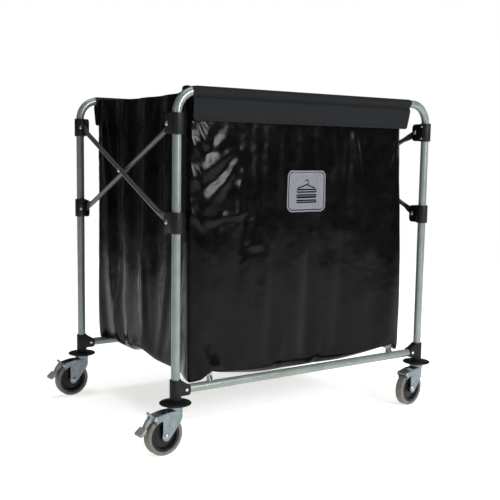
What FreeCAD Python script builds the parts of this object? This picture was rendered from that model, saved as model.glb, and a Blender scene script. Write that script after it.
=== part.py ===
import FreeCAD, Part

import math
import os

from FreeCAD import Base

# Folding X-frame linen trolley. Millimetres, +Z up, floor at Z = 0.
# +X runs along the top bars, -Y is the front. Everything is laid out about the centre
# between the four legs and moved by ORIGIN_X at export, to the middle of the footprint.
ORIGIN_X = 34.0

# frame tubes
LEG_X = 410.0
LEG_Y = 298.0
TUBE_R = 11.0
TUBE_WALL = 1.5
TUBE_BORE = TUBE_R - TUBE_WALL
TOP_BAR_Z = 884.0
BEND_R = 55.0
LEG_FOOT_Z = 128.6
RAIL_Z = 155.5
SNUG = 0.05
RUNNING = 0.1

# link brackets: a barrel on the leg and a clevis towards the other hoop
BRACKET_R = 16.0
BRACKET_H = 51.0
UPPER_Z = 805.0
LOWER_Z = 568.0
PIVOT_REACH = 31.0
CLEVIS_END_R = 10.5
CLEVIS_CORNER_R = 11.0
CLEVIS_HALF_W = 11.0
SLOT_GAP = 0.5
SLIDE_FIT = 0.3
BOLT_R = 3.0
BOLT_HEAD_R = 6.0
BOLT_HEAD_H = 4.0
RIVET_R = 2.4
RIVET_HEAD_R = 4.5
RIVET_HEAD_H = 2.0
RIVET_OFFSET = 17.0

# scissor links: round tube with flattened ends
LINK_R = 6.5
LINK_WALL = 1.5
LINK_OFFSET = 7.0
STRIP_OFFSET = 3.5
STRIP_T = 4.0
STRIP_HALF_W = 9.0
STRIP_LENGTH = 30.0
NECK_LENGTH = 22.0

# foot brackets and bumper discs
FOOT_R = 14.5
FOOT_TOP_Z = 182.0
LUG_REACH = 37.0
LUG_HALF_W = 12.0
LUG_LOW_Z = 142.0
LUG_HIGH_Z = 169.0
LUG_RIVET_REACH = 26.0
LUG_CORNER_R = 7.0
SPIGOT_R = 7.0
SPIGOT_DEPTH = 20.0
PLUG_LENGTH = 30.0
DISC_R = 40.0
DISC_LOW_Z = 122.4
DISC_HIGH_Z = 128.4
DISC_RIM_T = 3.6

# castors, drawn trailing towards -X about a swivel axis through the origin
WHEEL_R = 50.0
WHEEL_HALF_W = 12.5
TREAD_T = 10.0
CORE_R = WHEEL_R - TREAD_T
TRAIL = 35.0
AXLE_R = 4.0
AXLE_HEAD_R = 7.5
AXLE_HEAD_H = 4.0
STEM_R = 5.5
STEM_TOP_Z = 160.0
STEM_HEAD_Z = 101.5
BOSS_R = 25.0
CUP_R = 20.0
CUP_TOP_Z = 119.0
PLATE_LOW_Z = 105.5
PLATE_HIGH_Z = 108.5
PLATE_BACK_X = -24.0
FORK_INNER = 14.0
FORK_OUTER = 16.5
AXLE_EYE_R = 12.0
NOSE_X = 2.0
ARCH_R = 40.0
ARCH_SET = 6.0
BRAKE_X = -64.0
BRAKE_Z = 97.0
BRAKE_PIN_R = 2.5
BRAKE_EYE_R = 6.5
BRAKE_HUB_R = 4.6
PEDAL_TIP_X = -108.0
PEDAL_HALF_W = 14.0
LEVER_HALF_W = 6.0
REST_SWIVEL = {"front_left": 5.0, "front_right": 10.0, "rear_left": 4.0, "rear_right": 0.0}

# folding stays under the bag
STAY_X = 305.0
STAY_Z = 181.0
STAY_PIVOT_Y = 289.0
STAY_HALF_H = 6.5
STAY_T = 5.0
STAY_LAP = 0.4
STAY_HEAD_RIM = 1.0
LUG_PLATE_T = 2.0

# bag: plain panels the thickness of the stitched double cloth
CLOTH_T = 3.0
BAG_LEFT_X = -349.0
BAG_RIGHT_X = 335.0
BAG_Y = 294.0
BAG_LOW_Z = 188.0
HEM_LEFT_X = -353.0
HEM_RIGHT_X = 346.0
HEM_LOW_Z = 812.0
HEM_WALL = 1.6
HEM_FIT = 0.3
END_TOP_Z = 877.0

NEAR = Base.Vector(0, 1, 0)
ALONG = Base.Vector(1, 0, 0)
UP = Base.Vector(0, 0, 1)


def vec(x, y, z):
    return Base.Vector(x, y, z)


def rod(radius, start, end):
    """Solid round bar between two points."""
    run = end - start
    return Part.makeCylinder(radius, run.Length, start, run)


def block(low, high):
    """Box between two corners."""
    size = vec(*high) - vec(*low)
    return Part.makeBox(size.x, size.y, size.z, vec(*low))


def turned(points, start=vec(0, 0, 0)):
    """Solid of revolution about a vertical axis from (radius, height) points."""
    outline = [start + vec(r, 0, z) for r, z in points]
    face = Part.Face(Part.makePolygon(outline + outline[:1]))
    return face.revolve(start, UP, 360)


def prism(points, low, high, plane):
    """Flat outline extruded between two levels of the axis that the plane leaves out."""
    place = {
        "xz": lambda a, b: vec(a, low, b),
        "yz": lambda a, b: vec(low, a, b),
        "xy": lambda a, b: vec(a, b, low),
    }[plane]
    run = {"xz": vec(0, high - low, 0), "yz": vec(high - low, 0, 0), "xy": vec(0, 0, high - low)}
    outline = [place(a, b) for a, b in points]
    return Part.Face(Part.makePolygon(outline + outline[:1])).extrude(run[plane])


def rounded(low, high, radius, low_x, high_x, plane):
    """Flat plate: a rectangle whose four corners are round, extruded like a prism."""
    (a0, b0), (a1, b1) = low, high
    place = {"yz": lambda a, b, c: vec(c, a, b), "xz": lambda a, b, c: vec(a, c, b)}[plane]
    tall = [(a0 + radius, b0), (a1 - radius, b0), (a1 - radius, b1), (a0 + radius, b1)]
    wide = [(a0, b0 + radius), (a1, b0 + radius), (a1, b1 - radius), (a0, b1 - radius)]
    body = prism(tall, low_x, high_x, plane).fuse(prism(wide, low_x, high_x, plane))
    for a in (a0 + radius, a1 - radius):
        for b in (b0 + radius, b1 - radius):
            body = body.fuse(rod(radius, place(a, b, low_x), place(a, b, high_x)))
    return body.removeSplitter()


def turn(shape, degrees, centre=vec(0, 0, 0), axis=UP):
    """Copy turned about an axis."""
    moved = shape.copy()
    moved.rotate(centre, axis, degrees)
    return moved


def shift(shape, x=0.0, y=0.0, z=0.0):
    """Copy moved by a distance."""
    moved = shape.copy()
    moved.translate(vec(x, y, z))
    return moved


def flip(shape, sign, normal):
    """Mirror image across a plane through the origin when the sign is negative."""
    return shape.mirror(vec(0, 0, 0), normal) if sign < 0 else shape


def dome(radius, height, base, way):
    """Domed head: the cap of a sphere, its flat side on the base."""
    ball_r = (radius * radius + height * height) / (2 * height)
    ball = Part.makeSphere(ball_r, base + way * (height - ball_r))
    return ball.common(rod(radius, base, base + way * height))


def pin_with_heads(radius, head_radius, head_height, start, end):
    """Round pin with a domed head at each end."""
    run = (end - start).normalize()
    pin = rod(radius, start, end)
    for point, way in ((start, run * -1), (end, run)):
        pin = pin.fuse(dome(head_radius, head_height, point, way))
    return pin.removeSplitter()


def save(name, *solids):
    """One STEP file per node, moved to the part's own origin."""
    shape = solids[0] if len(solids) == 1 else Part.makeCompound(list(solids))
    shift(shape, x=ORIGIN_X).exportStep(os.path.join("parts", name + ".step"))


# ---------------------------------------------------------------- hoops and rails


def hoop_path(y):
    """Centreline of one hoop: leg, bend, top bar, bend, leg."""
    low = LEG_FOOT_Z
    side = TOP_BAR_Z - BEND_R
    top = LEG_X - BEND_R
    cut = BEND_R * (1 - math.sqrt(0.5))
    high = TOP_BAR_Z - cut
    left = Part.Arc(vec(-LEG_X, y, side), vec(-LEG_X + cut, y, high), vec(-top, y, TOP_BAR_Z))
    right = Part.Arc(vec(top, y, TOP_BAR_Z), vec(LEG_X - cut, y, high), vec(LEG_X, y, side))
    return Part.Wire(
        [
            Part.LineSegment(vec(-LEG_X, y, low), vec(-LEG_X, y, side)).toShape(),
            left.toShape(),
            Part.LineSegment(vec(-top, y, TOP_BAR_Z), vec(top, y, TOP_BAR_Z)).toShape(),
            right.toShape(),
            Part.LineSegment(vec(LEG_X, y, side), vec(LEG_X, y, low)).toShape(),
        ]
    )


def hoop(y):
    """Bent tube, with a hole for each upper bracket rivet."""
    solids = []
    for radius in (TUBE_R, TUBE_BORE):
        ring = Part.Wire(Part.makeCircle(radius, vec(-LEG_X, y, LEG_FOOT_Z), UP))
        solids.append(hoop_path(y).makePipeShell([ring], True, False))
    body = solids[0].cut(solids[1])
    for side in (-1, 1):
        for z in (UPPER_Z - RIVET_OFFSET, UPPER_Z + RIVET_OFFSET):
            hole = rod(RIVET_R + SNUG, vec(side * LEG_X, y, z), vec(side * (LEG_X - BRACKET_R), y, z))
            body = body.cut(hole)
    return body


def rail(y):
    """Lower tube between the foot bracket lugs."""
    end = LEG_X - LUG_REACH - SNUG
    start, stop = vec(-end, y, RAIL_Z), vec(end, y, RAIL_Z)
    return rod(TUBE_R, start, stop).cut(rod(TUBE_BORE, start, stop))


def rail_plug(side, y):
    """Spigot that joins the rail to a foot bracket, with its rivet hole."""
    face = LEG_X - LUG_REACH

    def at(distance):
        return vec(side * (face + distance), y, RAIL_Z)

    inner = rod(TUBE_BORE - SNUG, at(-PLUG_LENGTH), at(-SNUG))
    stub = rod(SPIGOT_R, at(-1.0), at(SPIGOT_DEPTH))
    middle = at(LUG_REACH - LUG_RIVET_REACH)
    across = vec(0, LUG_HALF_W, 0)
    hole = rod(RIVET_R + SNUG, middle - across, middle + across)
    return inner.fuse(stub).cut(hole).removeSplitter()


def foot_bracket(side, y):
    """Moulded barrel round the leg's foot, with a gusseted lug for the rail."""
    barrel = rod(FOOT_R, vec(0, 0, LEG_FOOT_Z), vec(0, 0, FOOT_TOP_Z))
    half = LUG_HALF_W
    low, high = (-LUG_REACH, LUG_LOW_Z), (LUG_REACH, LUG_HIGH_Z)
    lug = rounded(low, high, LUG_CORNER_R, -half, half, "xz")
    lug = lug.common(block((0, -half - 1, LUG_LOW_Z - 1), (LUG_REACH + 1, half + 1, LUG_HIGH_Z + 1)))
    top = FOOT_TOP_Z - 1
    slope = [(0, LUG_LOW_Z + 5), (LUG_REACH - 5, LUG_HIGH_Z - 1), (FOOT_R - 2, top), (0, top)]
    gusset = prism(slope, -half + 2, half - 2, "xz")
    body = barrel.fuse([lug, gusset]).removeSplitter()
    deep = LUG_REACH - SPIGOT_DEPTH - 1
    spigot = rod(SPIGOT_R + SNUG, vec(deep, 0, RAIL_Z), vec(LUG_REACH + 1, 0, RAIL_Z))
    reach = LUG_RIVET_REACH
    rivet = rod(RIVET_R + SNUG, vec(reach, -half - 1, RAIL_Z), vec(reach, half + 1, RAIL_Z))
    bore = rod(TUBE_R + SNUG, vec(0, 0, LEG_FOOT_Z - 1), vec(0, 0, FOOT_TOP_Z + 1))
    body = body.cut(bore).cut(spigot).cut(rivet)
    body = flip(body, -side, ALONG)
    return shift(body, side * LEG_X, y)


def lug_rivet(side, y):
    """Rivet through a foot bracket's lug and the spigot in it."""
    x = side * (LEG_X - LUG_RIVET_REACH)
    start, end = vec(x, y - LUG_HALF_W, RAIL_Z), vec(x, y + LUG_HALF_W, RAIL_Z)
    return pin_with_heads(RIVET_R, RIVET_HEAD_R, RIVET_HEAD_H, start, end)


def leg_plug(side, y):
    """Bush in the leg's foot that grips the castor stem."""
    x = side * LEG_X
    body = rod(TUBE_BORE - SNUG, vec(x, y, LEG_FOOT_Z), vec(x, y, STEM_TOP_Z + 8))
    return body.cut(rod(STEM_R + SNUG, vec(x, y, LEG_FOOT_Z - 1), vec(x, y, STEM_TOP_Z + SNUG)))


def bumper_disc(side, y):
    """Round crowned buffer between the leg and the castor, with a boss over the swivel."""
    rim_top = DISC_LOW_Z + DISC_RIM_T
    outline = [
        (STEM_R + SNUG, CUP_TOP_Z + 0.4),
        (CUP_R - 2, CUP_TOP_Z + 0.4),
        (BOSS_R, DISC_LOW_Z),
        (DISC_R - 1.2, DISC_LOW_Z),
        (DISC_R, DISC_LOW_Z + 1.2),
        (DISC_R, rim_top - 1.2),
        (DISC_R - 1.5, rim_top),
        (FOOT_R + 6, DISC_HIGH_Z - 0.5),
        (FOOT_R + 1, DISC_HIGH_Z),
        (STEM_R + SNUG, DISC_HIGH_Z),
    ]
    return turned(outline, vec(side * LEG_X, y, 0))


# ---------------------------------------------------------------- link brackets


def link_bracket(side, front, z, slot_sign, fit):
    """Barrel round a leg with a clevis that points to the other hoop.

    side is -1 at the left leg; front is -1 on the front hoop; slot_sign is the outboard
    (+1) or inboard (-1) place of the slot; fit is the bore's radial clearance.
    """
    half = BRACKET_H / 2
    barrel = rod(BRACKET_R, vec(0, 0, -half), vec(0, 0, half))
    edge = PIVOT_REACH + CLEVIS_END_R
    wide = CLEVIS_HALF_W
    tab = rounded((-edge, 1 - half), (edge, half - 1), CLEVIS_CORNER_R, -wide, wide, "yz")
    tab = tab.common(block((-wide - 1, 0, -half), (wide + 1, edge + 1, half)))
    body = barrel.fuse(tab).removeSplitter()
    middle = slot_sign * STRIP_OFFSET
    slot_half = STRIP_T / 2 + SLOT_GAP
    slot_low = (middle - slot_half, BRACKET_R + 1, -half - 1)
    slot_high = (middle + slot_half, edge + 1, half + 1)
    body = body.cut(block(slot_low, slot_high))
    body = body.cut(rod(TUBE_R + fit, vec(0, 0, -half - 1), vec(0, 0, half + 1)))
    bolt_hole = rod(BOLT_R + SNUG, vec(-wide - 1, PIVOT_REACH, 0), vec(wide + 1, PIVOT_REACH, 0))
    body = body.cut(bolt_hole)
    if fit == SNUG:
        for level in (-RIVET_OFFSET, RIVET_OFFSET):
            body = body.cut(rod(RIVET_R + SNUG, vec(0, 0, level), vec(-BRACKET_R - 1, 0, level)))
    body = flip(body, side, ALONG)
    body = flip(body, -front, NEAR)
    return shift(body, side * LEG_X, front * LEG_Y, z)


def barrel_rivet(side, front, level):
    """Blind rivet through the bracket's inboard wall and the leg."""
    x, y, z = side * LEG_X, front * LEG_Y, UPPER_Z + level
    inward = -side
    shank = rod(RIVET_R, vec(x + inward * (TUBE_BORE - 2), y, z), vec(x + inward * BRACKET_R, y, z))
    head_start = vec(x + inward * (BRACKET_R - 0.5), y, z)
    head = dome(RIVET_HEAD_R, RIVET_HEAD_H, head_start, vec(inward, 0, 0))
    seat = rod(BRACKET_R, vec(x, y, z - 10), vec(x, y, z + 10))
    return shank.fuse(head.cut(seat)).removeSplitter()


def link_bolt(side, front, z):
    """Pivot bolt across a clevis."""
    y = front * (LEG_Y - PIVOT_REACH)
    start = vec(side * LEG_X - CLEVIS_HALF_W, y, z)
    end = vec(side * LEG_X + CLEVIS_HALF_W, y, z)
    return pin_with_heads(BOLT_R, BOLT_HEAD_R, BOLT_HEAD_H, start, end)


# ---------------------------------------------------------------- scissor links

LINK_RUN = 2 * (LEG_Y - PIVOT_REACH)
LINK_DROP = UPPER_Z - LOWER_Z
LINK_LENGTH = math.hypot(LINK_RUN, LINK_DROP)
LINK_SLOPE = math.degrees(math.atan2(LINK_DROP, LINK_RUN))
CENTRE_Z = (UPPER_Z + LOWER_Z) / 2


def straight_link(centre_hole_fit):
    """One link along Y about the origin, its tube on the outboard (+X) side."""
    half = LINK_LENGTH / 2
    neck_end = half - STRIP_LENGTH
    tube_end = neck_end - NECK_LENGTH
    start, end = vec(LINK_OFFSET, -tube_end, 0), vec(LINK_OFFSET, tube_end, 0)
    body = rod(LINK_R, start, end)
    flat = (STRIP_OFFSET - STRIP_T / 2, STRIP_OFFSET + STRIP_T / 2)
    for way in (-1, 1):
        ring = Part.Wire(Part.makeCircle(LINK_R, vec(LINK_OFFSET, way * tube_end, 0), NEAR))
        corners = [
            vec(flat[0], way * neck_end, -STRIP_HALF_W),
            vec(flat[1], way * neck_end, -STRIP_HALF_W),
            vec(flat[1], way * neck_end, STRIP_HALF_W),
            vec(flat[0], way * neck_end, STRIP_HALF_W),
        ]
        strip_ring = Part.makePolygon(corners + corners[:1])
        neck = Part.makeLoft([ring, strip_ring], True, True)
        low_y, high_y = sorted((way * (neck_end - 0.5), way * half))
        strip = block((flat[0], low_y, -STRIP_HALF_W), (flat[1], high_y, STRIP_HALF_W))
        eye = rod(STRIP_HALF_W, vec(flat[0], way * half, 0), vec(flat[1], way * half, 0))
        body = body.fuse([neck, strip, eye])
    for y in (-half, half):
        body = body.cut(rod(BOLT_R + RUNNING, vec(-1, y, 0), vec(2 * LINK_OFFSET, y, 0)))
    bore_end = tube_end - 5
    body = body.cut(rod(LINK_R - LINK_WALL, vec(LINK_OFFSET, -bore_end, 0), vec(LINK_OFFSET, bore_end, 0)))
    return body.cut(rod(BOLT_R + centre_hole_fit, vec(-1, 0, 0), vec(2 * LINK_OFFSET + 1, 0, 0)))


def link(side, outer):
    """Outer link: rear top to front bottom, outboard. Inner link: front top to rear bottom."""
    body = straight_link(SNUG if outer else RUNNING)
    body = turn(body, LINK_SLOPE if outer else -LINK_SLOPE, axis=ALONG)
    body = flip(body, side if outer else -side, ALONG)
    return shift(body, side * LEG_X, 0, CENTRE_Z)


def centre_bolt(side):
    """Bolt through both links where they cross, with a domed nut inboard."""
    reach = 2 * LINK_OFFSET - 0.4
    start = vec(side * (LEG_X - reach), 0, CENTRE_Z)
    end = vec(side * (LEG_X + reach), 0, CENTRE_Z)
    return pin_with_heads(BOLT_R, BOLT_HEAD_R, BOLT_HEAD_H, start, end)


# ---------------------------------------------------------------- stays under the bag


def stay_plane(side, front):
    """X of one half stay: the two halves lie side by side."""
    return side * STAY_X + front * (STAY_T + STAY_LAP) / 2


def half_stay(side, front):
    """Flat bar from its lug to just past the middle joint."""
    x = stay_plane(side, front)
    low, high = x - STAY_T / 2, x + STAY_T / 2
    near, far = sorted((0.0, front * STAY_PIVOT_Y))
    body = block((low, near, STAY_Z - STAY_HALF_H), (high, far, STAY_Z + STAY_HALF_H))
    for y in (near, far):
        body = body.fuse(rod(STAY_HALF_H, vec(low, y, STAY_Z), vec(high, y, STAY_Z)))
    body = body.removeSplitter()
    for y, fit in ((front * STAY_PIVOT_Y, RUNNING), (0.0, SNUG)):
        body = body.cut(rod(RIVET_R + fit, vec(low - 1, y, STAY_Z), vec(high + 1, y, STAY_Z)))
    return body


def stay_head(side, front):
    """Half of the joint rivet: its head on the half stay's free face and a shank through it."""
    x = stay_plane(side, front)
    lap, free = vec(x - front * STAY_T / 2, 0, STAY_Z), vec(x + front * STAY_T / 2, 0, STAY_Z)
    way = vec(front, 0, 0)
    rim = free + way * STAY_HEAD_RIM
    crown = dome(RIVET_HEAD_R, RIVET_HEAD_H - STAY_HEAD_RIM, rim, way)
    return rod(RIVET_R, lap, free).fuse([rod(RIVET_HEAD_R, free, rim), crown]).removeSplitter()


def stay_lug(side, front):
    """Pair of plates on the rail that holds a half stay's end."""
    x = stay_plane(side, front)
    y = front * LEG_Y
    inner = front * STAY_PIVOT_Y
    plates = None
    outline = [
        (y + front * 5, RAIL_Z + TUBE_R - 4),
        (inner - front * 6, RAIL_Z + TUBE_R - 6),
        (inner - front * 5, STAY_Z),
        (inner - front * 2.5, STAY_Z + 5),
        (inner + front * 2.5, STAY_Z + 5),
        (inner + front * 5, STAY_Z + 1),
    ]
    for way in (-1, 1):
        face = x + way * (STAY_T / 2 + SLOT_GAP)
        low, high = sorted((face, face + way * LUG_PLATE_T))
        plate = prism(outline, low, high, "yz")
        plates = plate if plates is None else plates.fuse(plate)
    half = STAY_T / 2 + SLOT_GAP + LUG_PLATE_T
    bridge = block(
        (x - half, min(y, inner), RAIL_Z + TUBE_R - 4),
        (x + half, max(y, inner), RAIL_Z + TUBE_R + 1.5),
    )
    body = plates.fuse(bridge).cut(rod(TUBE_R + SNUG, vec(x - 20, y, RAIL_Z), vec(x + 20, y, RAIL_Z)))
    return body.cut(rod(RIVET_R + SNUG, vec(x - 20, inner, STAY_Z), vec(x + 20, inner, STAY_Z)))


def stay_pin(side, front):
    """Rivet through a stay lug."""
    x = stay_plane(side, front)
    half = STAY_T / 2 + SLOT_GAP + LUG_PLATE_T
    y = front * STAY_PIVOT_Y
    start, end = vec(x - half, y, STAY_Z), vec(x + half, y, STAY_Z)
    return pin_with_heads(RIVET_R, RIVET_HEAD_R, RIVET_HEAD_H, start, end)


# ---------------------------------------------------------------- castors


def castor_stem(side, y):
    """Turned pin: shank in the leg, riveted lower head under the fork's plate."""
    lower_head_top = PLATE_LOW_Z - 0.4
    outline = [
        (0, STEM_HEAD_Z),
        (7, STEM_HEAD_Z),
        (9, STEM_HEAD_Z + 1.5),
        (9, lower_head_top),
        (STEM_R, lower_head_top),
        (STEM_R, STEM_TOP_Z - 2),
        (STEM_R - 2, STEM_TOP_Z),
        (0, STEM_TOP_Z),
    ]
    return turned(outline, vec(side * LEG_X, y, 0))


def fork_plan(half_width, low_z, high_z):
    """Plan of the pressed fork: straight sides joined by a round nose."""
    sides = block((-90, -half_width, low_z), (NOSE_X, half_width, high_z))
    return sides.fuse(rod(half_width, vec(NOSE_X, 0, low_z), vec(NOSE_X, 0, high_z)))


def fork_profile():
    """Side outline of the fork: head, blade down to the axle, arm over the wheel."""
    low, high = -FORK_OUTER - 1, FORK_OUTER + 1
    eye_tangent = AXLE_EYE_R * 0.72
    blade = [
        (NOSE_X + FORK_OUTER, PLATE_HIGH_Z),
        (NOSE_X + FORK_OUTER, PLATE_HIGH_Z - 10),
        (13, 88),
        (-TRAIL + eye_tangent, WHEEL_R - eye_tangent),
        (-TRAIL - eye_tangent, WHEEL_R - eye_tangent),
        (-TRAIL - AXLE_EYE_R, WHEEL_R),
        (-TRAIL - AXLE_EYE_R + 1, 76),
        (-70, 84),
        (-70, 101),
        (-46, 106.5),
        (-30, PLATE_HIGH_Z),
    ]
    body = prism(blade, low, high, "xz")
    arch = rod(ARCH_R, vec(-TRAIL - ARCH_SET, low, WHEEL_R), vec(-TRAIL - ARCH_SET, high, WHEEL_R))
    keep = block((-TRAIL - AXLE_EYE_R + 2, low, 0), (60, high, 120))
    body = body.cut(arch.cut(keep))
    eye = rod(AXLE_EYE_R, vec(-TRAIL, low, WHEEL_R), vec(-TRAIL, high, WHEEL_R))
    arm_eye = rod(BRAKE_EYE_R, vec(BRAKE_X, low, BRAKE_Z), vec(BRAKE_X, high, BRAKE_Z))
    tip = block((-90, low, 60), (BRAKE_X, high, 120))
    return body.cut(tip).fuse([eye, arm_eye])


def fork():
    """Pressed fork: one sheet with a round nose, two blades and a pair of trailing arms."""
    low_z, high_z = 20.0, PLATE_HIGH_Z
    outside = fork_plan(FORK_OUTER, low_z, high_z)
    walls = outside.cut(fork_plan(FORK_INNER, low_z - 1, high_z + 1))
    over_stem = block((PLATE_BACK_X, -FORK_OUTER, PLATE_LOW_Z), (60, FORK_OUTER, PLATE_HIGH_Z))
    body = walls.fuse(outside.common(over_stem)).common(fork_profile())
    cup_outline = [
        (0, PLATE_HIGH_Z - 1),
        (CUP_R - 4, PLATE_HIGH_Z - 1),
        (CUP_R - 1, PLATE_HIGH_Z + 2),
        (CUP_R, PLATE_HIGH_Z + 4),
        (CUP_R, CUP_TOP_Z - 2),
        (CUP_R - 2, CUP_TOP_Z),
        (0, CUP_TOP_Z),
    ]
    body = body.fuse(turned(cup_outline))
    body = body.cut(rod(STEM_R + RUNNING, vec(0, 0, PLATE_LOW_Z - 10), vec(0, 0, CUP_TOP_Z + 1)))
    body = body.cut(rod(AXLE_R + SNUG, vec(-TRAIL, -20, WHEEL_R), vec(-TRAIL, 20, WHEEL_R)))
    return body.cut(rod(BRAKE_PIN_R + SNUG, vec(BRAKE_X, -20, BRAKE_Z), vec(BRAKE_X, 20, BRAKE_Z)))


def axle():
    """Axle bolt with a nut, and the arm pin above it."""
    pins = []
    for x, z, radius, head_r, head_h in (
        (-TRAIL, WHEEL_R, AXLE_R, AXLE_HEAD_R, AXLE_HEAD_H),
        (BRAKE_X, BRAKE_Z, BRAKE_PIN_R, RIVET_HEAD_R, RIVET_HEAD_H),
    ):
        start, end = vec(x, -FORK_OUTER, z), vec(x, FORK_OUTER, z)
        pins.append(pin_with_heads(radius, head_r, head_h, start, end))
    return pins


def about_axle(outline):
    """Wheel part turned about the axle from (radius, half-width) points on one side."""
    points = outline + [(r, -y) for r, y in reversed(outline)]
    loop = [vec(-TRAIL, y, WHEEL_R + r) for r, y in points]
    face = Part.Face(Part.makePolygon(loop + loop[:1]))
    return face.revolve(vec(-TRAIL, 0, WHEEL_R), NEAR, 360)


def wheel_core():
    """Moulded wheel centre: rim, web and hub with the axle bore."""
    return about_axle(
        [
            (AXLE_R + RUNNING, 13.3),
            (10, 13.3),
            (12, 6),
            (30, 4),
            (34, 10.5),
            (CORE_R - SNUG, 10.5),
        ]
    )


def tyre():
    """Rubber tread on the wheel core."""
    w = WHEEL_HALF_W
    return about_axle(
        [
            (CORE_R, w - 1.5),
            (CORE_R + 3, w),
            (WHEEL_R - 4, w),
            (WHEEL_R - 1.2, w - 1.6),
            (WHEEL_R, w - 4.5),
        ]
    )


def brake_lever():
    """Rocking lever between the fork's arms: foot pad outside, release tab above."""
    inner = FORK_INNER - 1
    hub = rod(BRAKE_HUB_R, vec(BRAKE_X, -inner, BRAKE_Z), vec(BRAKE_X, inner, BRAKE_Z))
    web_outline = [
        (BRAKE_X + 3, BRAKE_Z - 3),
        (-78, 86),
        (-88, 73),
        (-92, 77),
        (-84, 92),
        (-74, 102),
        (-80.5, 111),
        (-76.5, 113.5),
        (-68, 103),
        (BRAKE_X + 3, BRAKE_Z + 3),
    ]
    web = prism(web_outline, -LEVER_HALF_W, LEVER_HALF_W, "xz")
    pad_outline = [
        (-87.5, 76),
        (-88.5, 71),
        (-103, 59.5),
        (PEDAL_TIP_X, 61),
        (PEDAL_TIP_X, 65.5),
        (-93, 78.5),
    ]
    pad = prism(pad_outline, -PEDAL_HALF_W, PEDAL_HALF_W, "xz")
    corner = block((-92.5, -PEDAL_HALF_W - 1, 50), (-80, PEDAL_HALF_W + 1, 90))
    pad = pad.cut(corner.cut(block((-93, -PEDAL_HALF_W + 3, 50), (-80, PEDAL_HALF_W - 3, 90))))
    body = hub.fuse([web, pad]).removeSplitter()
    return body.cut(rod(BRAKE_PIN_R + RUNNING, vec(BRAKE_X, -20, BRAKE_Z), vec(BRAKE_X, 20, BRAKE_Z)))


# ---------------------------------------------------------------- bag


def hem_sleeve(front):
    """Cloth sleeve round a top bar, closed by a seam below it."""
    outer, inner = [], []
    for points, radius, foot, low in (
        (outer, TUBE_R + HEM_FIT + HEM_WALL, 2.6, HEM_LOW_Z),
        (inner, TUBE_R + HEM_FIT, 0.8, HEM_LOW_Z + 12),
    ):
        points.append((-foot, low))
        for degrees in range(180, -1, -15):
            a = math.radians(degrees)
            points.append((radius * math.cos(a), TOP_BAR_Z + radius * math.sin(a) * 1.02))
        points.append((foot, low))
    left, right = HEM_LEFT_X - 1, HEM_RIGHT_X + 1
    shell = prism(outer, HEM_LEFT_X, HEM_RIGHT_X, "yz").cut(prism(inner, left, right, "yz"))
    shell = shell.cut(rod(TUBE_R + HEM_FIT, vec(left, 0, TOP_BAR_Z), vec(right, 0, TOP_BAR_Z)))
    return shift(shell, y=front * LEG_Y)


def long_panel(front):
    """Front or rear panel, from the bag's foot to its hem sleeve."""
    low_y, high_y = sorted((front * BAG_Y, front * (BAG_Y + CLOTH_T)))
    return block((BAG_LEFT_X, low_y, BAG_LOW_Z), (BAG_RIGHT_X, high_y, HEM_LOW_Z - SNUG))


def end_panel(low_x):
    """End panel, hung between the two top bars, with a dipped top edge."""
    reach = BAG_Y - 0.5
    bar_side = LEG_Y - TUBE_R - HEM_FIT - HEM_WALL - 1
    outline = [
        (-reach, BAG_LOW_Z),
        (reach, BAG_LOW_Z),
        (reach, HEM_LOW_Z - 12),
        (bar_side - 3, HEM_LOW_Z),
        (bar_side - 3, TOP_BAR_Z),
        (bar_side - 90, END_TOP_Z),
        (-bar_side + 90, END_TOP_Z),
        (-bar_side + 3, TOP_BAR_Z),
        (-bar_side + 3, HEM_LOW_Z),
        (-reach, HEM_LOW_Z - 12),
    ]
    return prism(outline, low_x, low_x + CLOTH_T, "yz")


def bottom_panel():
    """Bag floor, which rests on the stays."""
    reach = BAG_Y - 0.5
    low = (BAG_LEFT_X + CLOTH_T + SNUG, -reach, BAG_LOW_Z)
    high = (BAG_RIGHT_X - CLOTH_T - SNUG, reach, BAG_LOW_Z + CLOTH_T)
    return block(low, high)


# ---------------------------------------------------------------- build


def build_hoop_side(name, front):
    """Everything fixed to one hoop."""
    y = front * LEG_Y
    sides = (-1, 1)
    save(name + "_hoop", hoop(y))
    save(name + "_rail", rail(y))
    save(name + "_rail_plugs", *[rail_plug(s, y) for s in sides])
    save(name + "_foot_brackets", *[foot_bracket(s, y) for s in sides])
    # the front brackets' upper clevises take the inner links, the rear ones the outer links
    save(name + "_upper_brackets", *[link_bracket(s, front, UPPER_Z, front, SNUG) for s in sides])
    rivets = [barrel_rivet(s, front, level) for s in sides for level in (-RIVET_OFFSET, RIVET_OFFSET)]
    rivets += [lug_rivet(s, y) for s in sides]
    rivets += [stay_pin(s, front) for s in sides]
    save(name + "_rivets", *rivets)
    save(name + "_link_bolts", *[link_bolt(s, front, UPPER_Z) for s in sides])
    save(name + "_bumper_discs", *[bumper_disc(s, y) for s in sides])
    save(name + "_leg_plugs", *[leg_plug(s, y) for s in sides])
    save(name + "_stay_lugs", *[stay_lug(s, front) for s in sides])
    save(name + "_castor_stems", *[castor_stem(s, y) for s in sides])
    save(name + "_hem_sleeve", hem_sleeve(front))
    save("bag_" + name + "_panel", long_panel(front))
    save(name + "_slide_brackets", *[link_bracket(s, front, LOWER_Z, -front, SLIDE_FIT) for s in sides])
    save(name + "_slide_bolts", *[link_bolt(s, front, LOWER_Z) for s in sides])
    save(name + "_stays", *[half_stay(s, front) for s in sides])
    save(name + "_stay_heads", *[stay_head(s, front) for s in sides])


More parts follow.
